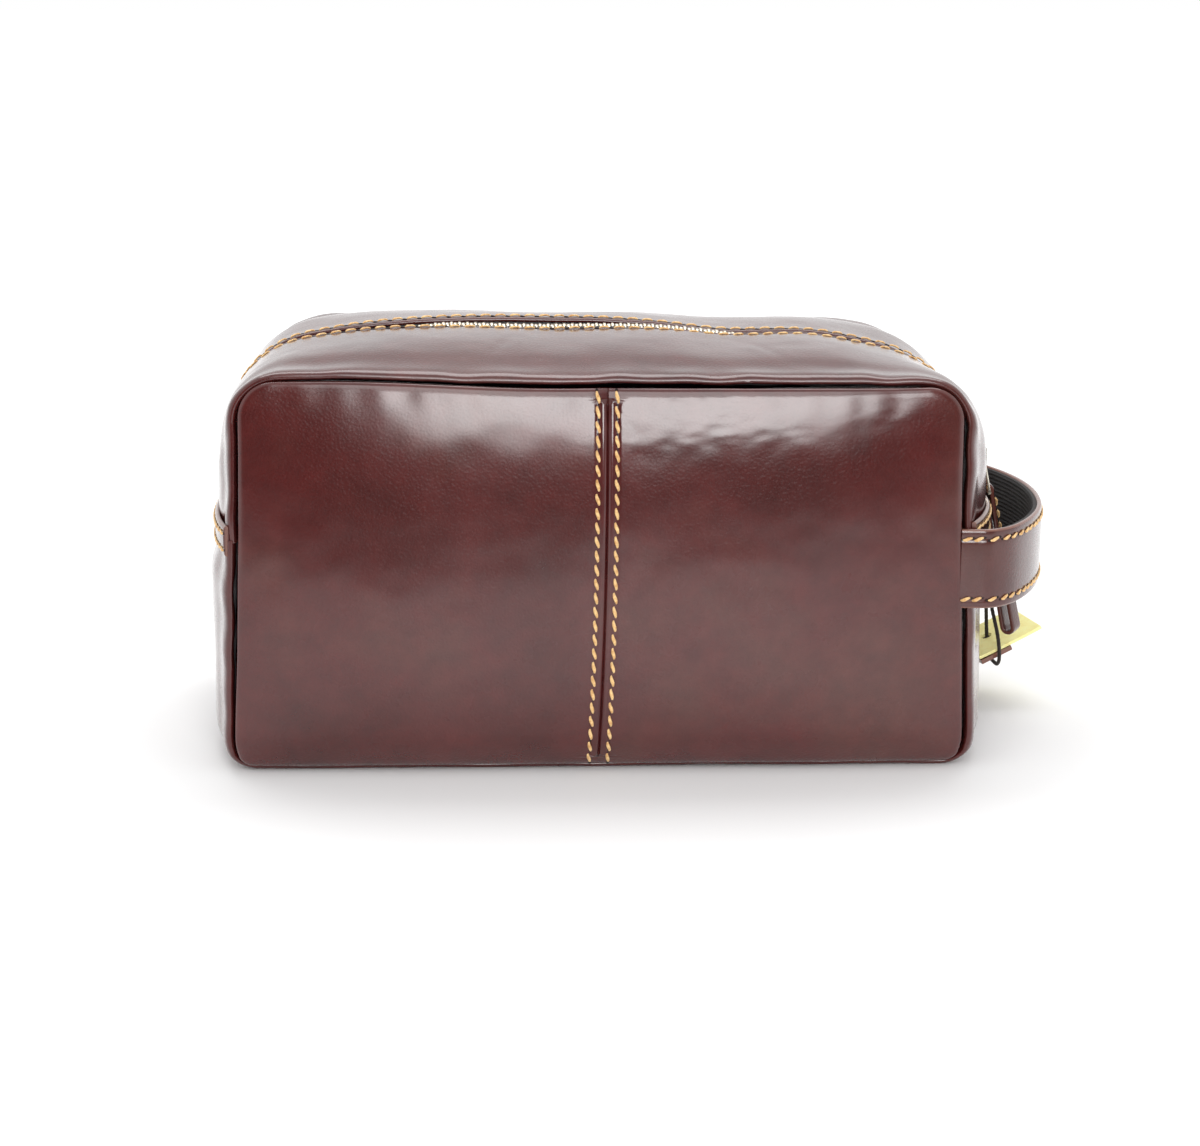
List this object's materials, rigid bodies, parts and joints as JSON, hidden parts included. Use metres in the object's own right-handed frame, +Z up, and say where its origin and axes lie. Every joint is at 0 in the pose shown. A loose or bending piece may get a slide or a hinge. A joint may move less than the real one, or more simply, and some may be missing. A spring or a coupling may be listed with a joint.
{
  "type": "shaving kit bag",
  "caption": "Boxy leather wash bag with a zip along its top, a side loop handle, end bands, a leather zip pull and a plain hang tag.",
  "frame": {"origin": "centre of the flat underside of the base", "axes": "+X along the bag's length towards the handle, +Y from the front panel to the back panel, +Z up"},
  "size_m": [0.2779, 0.1278, 0.1333],
  "materials": {
    "leather": "semi-gloss oxblood brown cowhide, fine pebble grain",
    "strap_leather": "semi-gloss oxblood brown cowhide with burnished edges",
    "thread": "waxed golden tan polyester thread",
    "zip_metal": "bright nickel",
    "slider_metal": "bright nickel",
    "zip_tape": "woven dark brown tape",
    "webbing": "ribbed black-brown grosgrain",
    "lining_cloth": "woven dark lining",
    "binding_tape": "woven dark tape",
    "board": "fibre board",
    "tag_card": "plain kraft card",
    "cord": "dark waxed cord"
  },
  "bodies": {
    "root": {"front_panel_left": "leather", "front_panel_right": "leather", "back_panel_left": "leather", "back_panel_right": "leather", "front_seam_tape": "binding_tape", "back_seam_tape": "binding_tape", "front_seam_thread": "thread", "back_seam_thread": "thread", "base_gusset": "leather", "base_board": "board", "gusset_end_left_front": "leather", "gusset_end_left_back": "leather", "gusset_end_right_front": "leather", "gusset_end_right_back": "leather", "gusset_end_thread": "thread", "end_band_left": "strap_leather", "end_band_right": "strap_leather", "band_thread": "thread", "handle_strap": "strap_leather", "handle_webbing": "webbing", "handle_thread": "thread", "zip_tape_end_left": "zip_tape", "zip_tape_end_right": "zip_tape", "zip_teeth_end_left": "zip_metal", "zip_teeth_end_right": "zip_metal", "zip_stops": "zip_metal", "lining_front": "lining_cloth", "lining_back": "lining_cloth", "lining_base": "lining_cloth", "lining_end_left": "lining_cloth", "lining_end_right": "lining_cloth", "seam_binding_front": "binding_tape", "seam_binding_back": "binding_tape"},
    "front_flap": {"zip_gusset_front": "leather", "zip_tape_front": "zip_tape", "zip_teeth_front": "zip_metal", "zip_thread_front": "thread", "lining_top_front": "lining_cloth"},
    "back_flap": {"zip_gusset_back": "leather", "zip_tape_back": "zip_tape", "zip_teeth_back": "zip_metal", "zip_thread_back": "thread", "lining_top_back": "lining_cloth"},
    "slider": {"slider_body": "slider_metal", "slider_bridge": "slider_metal"},
    "pull": {"pull_link": "slider_metal", "leather_pull": "strap_leather", "pull_thread": "thread"},
    "tag": {"tag_knot": "cord", "tag_cord": "cord", "hang_tag": "tag_card", "tag_sample": "strap_leather"}
  },
  "joints": [
    {"name": "front_flap_open", "type": "hinge", "parent": "root", "child": "front_flap", "pos_m": [0, -0.059, 0.1235], "axis": [1, 0, 0], "range_deg": [0, 50]},
    {"name": "back_flap_open", "type": "hinge", "parent": "root", "child": "back_flap", "pos_m": [0, 0.059, 0.1235], "axis": [-1, 0, 0], "range_deg": [0, 50]},
    {"name": "slider_travel", "type": "hinge", "parent": "root", "child": "slider", "pos_m": [0.0855, 0, 0.087], "axis": [0, -1, 0], "range_deg": [0, 25], "deforming": ["zip_teeth_end_right"]},
    {"name": "pull_swing", "type": "hinge", "parent": "slider", "child": "pull", "pos_m": [0.12659, 0, 0.08628], "axis": [0, -1, 0], "range_deg": [-23, 0]},
    {"name": "tag_swing", "type": "hinge", "parent": "pull", "child": "tag", "pos_m": [0.1297, 0.0045, 0.0768], "axis": [1, 0, 0], "range_deg": [0, 8]}
  ],
  "couplings": [
    {"joint": "pull_swing", "follows": "slider_travel", "ratio": -0.9}
  ]
}
